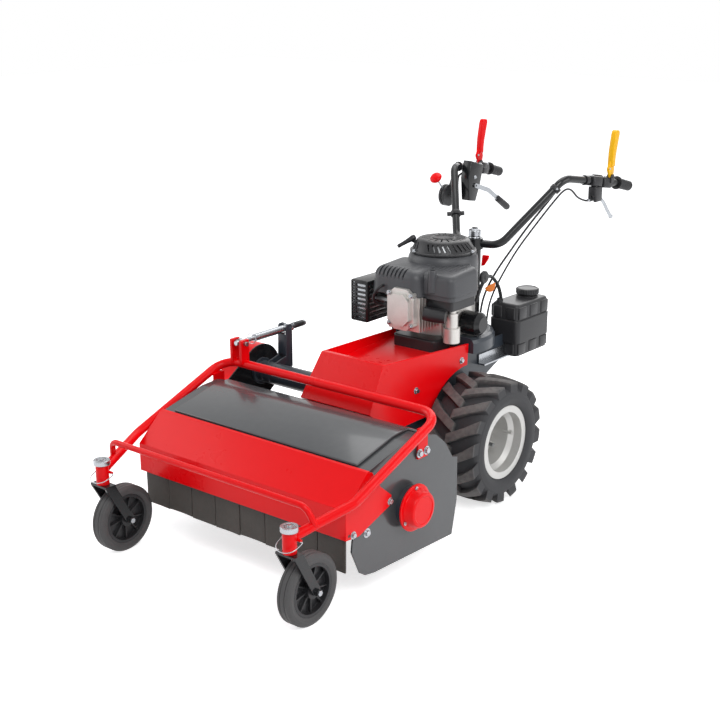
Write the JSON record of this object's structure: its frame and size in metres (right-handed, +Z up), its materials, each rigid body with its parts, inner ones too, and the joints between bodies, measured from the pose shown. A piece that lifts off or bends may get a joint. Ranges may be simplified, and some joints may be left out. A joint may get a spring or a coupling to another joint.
{
  "type": "walk-behind flail mower",
  "caption": "Two-wheel walk-behind flail mower with engine, lug tyres, front castors, swivelling handlebar and a flail rotor in a front deck.",
  "frame": {"origin": "on the ground under the middle of the machine, at the centre of its bounding box seen from above", "axes": "+Z up, -Y forward towards the deck, +X towards the operator's left"},
  "size_m": [0.92, 1.928, 1.113],
  "materials": {
    "red_paint": "gloss powder coat",
    "deck_grey": "satin gloss powder coat",
    "chassis_grey": "satin paint",
    "black_paint": "gloss black paint",
    "zinc": "bright zinc plate",
    "steel": "bare steel",
    "cast_alloy": "cast alloy",
    "rim_silver": "silver grey paint",
    "tyre_rubber": "matte rubber",
    "castor_rubber": "matte rubber",
    "flap_rubber": "matte rubber",
    "hose_rubber": "satin rubber",
    "shroud_grey": "satin grained plastic",
    "black_plastic": "satin black plastic",
    "yellow_paint": "gloss paint"
  },
  "bodies": {
    "chassis": {"chassis_frame": "chassis_grey", "transaxle_housing": "chassis_grey", "bonnet": "red_paint", "engine_block": "cast_alloy", "valve_cover": "cast_alloy", "blower_shroud": "shroud_grey", "recoil_cover": "black_plastic", "recoil_grip": "black_plastic", "air_filter_cover": "shroud_grey", "air_filter_base": "black_plastic", "muffler": "steel", "muffler_guard": "black_paint", "carburettor": "cast_alloy", "oil_filter": "black_paint", "spark_plug_lead": "hose_rubber", "tank_bracket": "zinc", "fuel_tank": "black_plastic", "fuel_hose": "hose_rubber", "handlebar_post": "black_paint", "cross_tube": "chassis_grey", "deck_strut": "zinc", "deck_top": "deck_grey", "side_plate_left": "deck_grey", "side_plate_right": "deck_grey", "front_cover": "red_paint", "hoop_frame": "red_paint", "rotor_bearings": "chassis_grey", "bearing_cover": "red_paint", "belt_guard": "red_paint", "belt_guard_plate": "black_paint", "drive_belt": "hose_rubber"},
    "cap": {"fuel_cap": "black_plastic"},
    "wheel_left": {"tyre_left": "tyre_rubber", "rim_left": "rim_silver", "axle_left": "steel"},
    "wheel_right": {"tyre_right": "tyre_rubber", "rim_right": "rim_silver", "axle_right": "steel"},
    "fork_left": {"castor_fork_left": "black_paint"},
    "fork_right": {"castor_fork_right": "black_paint"},
    "castor_left": {"castor_rim_left": "black_plastic", "castor_tyre_left": "castor_rubber"},
    "castor_right": {"castor_rim_right": "black_plastic", "castor_tyre_right": "castor_rubber"},
    "rotor": {"rotor": "steel", "rotor_pulley": "steel"},
    "row_front": {"flails_front": "steel"},
    "row_rear": {"flails_rear": "steel"},
    "drive": {"drive_pulley": "steel"},
    "curtain": {"flap_curtain": "flap_rubber"},
    "bar": {"handlebar": "black_paint", "hand_grips": "hose_rubber", "control_brackets": "black_plastic", "selector_box": "black_plastic", "control_cables": "hose_rubber"},
    "lever_red": {"clutch_lever": "red_paint"},
    "lever_yellow": {"blade_lever": "yellow_paint"},
    "lever_brake": {"brake_lever": "zinc"},
    "lever_gear": {"gear_lever": "zinc"},
    "lever_throttle": {"throttle_lever": "zinc"}
  },
  "joints": [
    {"name": "wheel_left_spin", "type": "hinge", "parent": "chassis", "child": "wheel_left", "pos_m": [0.24, 0.126, 0.204], "axis": [1, 0, 0], "continuous": true},
    {"name": "wheel_right_spin", "type": "hinge", "parent": "chassis", "child": "wheel_right", "pos_m": [-0.24, 0.126, 0.204], "axis": [1, 0, 0], "continuous": true},
    {"name": "castor_left_swivel", "type": "hinge", "parent": "chassis", "child": "fork_left", "pos_m": [0.3615, -0.929, 0.25], "axis": [0, 0, 1], "continuous": true},
    {"name": "castor_right_swivel", "type": "hinge", "parent": "chassis", "child": "fork_right", "pos_m": [-0.3615, -0.929, 0.25], "axis": [0, 0, 1], "continuous": true},
    {"name": "castor_left_spin", "type": "hinge", "parent": "fork_left", "child": "castor_left", "pos_m": [0.3615, -0.864, 0.1], "axis": [1, 0, 0], "continuous": true},
    {"name": "castor_right_spin", "type": "hinge", "parent": "fork_right", "child": "castor_right", "pos_m": [-0.3615, -0.864, 0.1], "axis": [1, 0, 0], "continuous": true},
    {"name": "rotor_spin", "type": "hinge", "parent": "chassis", "child": "rotor", "pos_m": [0, -0.479, 0.213], "axis": [1, 0, 0], "continuous": true},
    {"name": "drive_spin", "type": "hinge", "parent": "chassis", "child": "drive", "pos_m": [0, -0.219, 0.385], "axis": [1, 0, 0], "continuous": true},
    {"name": "flails_front_swing", "type": "hinge", "parent": "rotor", "child": "row_front", "pos_m": [0, -0.544, 0.213], "axis": [1, 0, 0], "range_deg": [-120, 30]},
    {"name": "flails_rear_swing", "type": "hinge", "parent": "rotor", "child": "row_rear", "pos_m": [0, -0.414, 0.213], "axis": [1, 0, 0], "range_deg": [-30, 120]},
    {"name": "curtain_swing", "type": "hinge", "parent": "chassis", "child": "curtain", "pos_m": [0, -0.7395, 0.214], "axis": [1, 0, 0], "range_deg": [0, 55]},
    {"name": "handlebar_swivel", "type": "hinge", "parent": "chassis", "child": "bar", "pos_m": [0, 0.406, 0.758], "axis": [0, 0, 1], "range_deg": [-25, 25], "deforming": ["control_cables"]},
    {"name": "clutch_lever_pull", "type": "hinge", "parent": "bar", "child": "lever_red", "pos_m": [-0.27, 0.826, 0.955], "axis": [-1, 0, 0], "range_deg": [0, 61], "stiffness_Nm_per_rad": 2, "springref_deg": -34.38},
    {"name": "blade_lever_pull", "type": "hinge", "parent": "bar", "child": "lever_yellow", "pos_m": [0.27, 0.826, 0.955], "axis": [-1, 0, 0], "range_deg": [0, 61], "stiffness_Nm_per_rad": 2, "springref_deg": -34.38},
    {"name": "brake_lever_pull", "type": "hinge", "parent": "bar", "child": "lever_brake", "pos_m": [0.254, 0.754, 0.896], "axis": [1, 0, 0], "range_deg": [0, 25], "stiffness_Nm_per_rad": 4, "springref_deg": -22.92},
    {"name": "gear_lever_shift", "type": "hinge", "parent": "bar", "child": "lever_gear", "pos_m": [-0.177, 0.666, 0.9], "axis": [1, 0, 0], "range_deg": [-10, 10]},
    {"name": "throttle_lever_turn", "type": "hinge", "parent": "bar", "child": "lever_throttle", "pos_m": [-0.25, 0.596, 0.868], "axis": [1, 0, 0], "range_deg": [-20, 35]},
    {"name": "fuel_cap_turn", "type": "hinge", "parent": "chassis", "child": "cap", "pos_m": [0.1115, 0.5725, 0.58], "axis": [0, 0, 1], "range_deg": [0, 180]}
  ],
  "couplings": [
    {"joint": "drive_spin", "follows": "rotor_spin", "ratio": 0.69136}
  ]
}
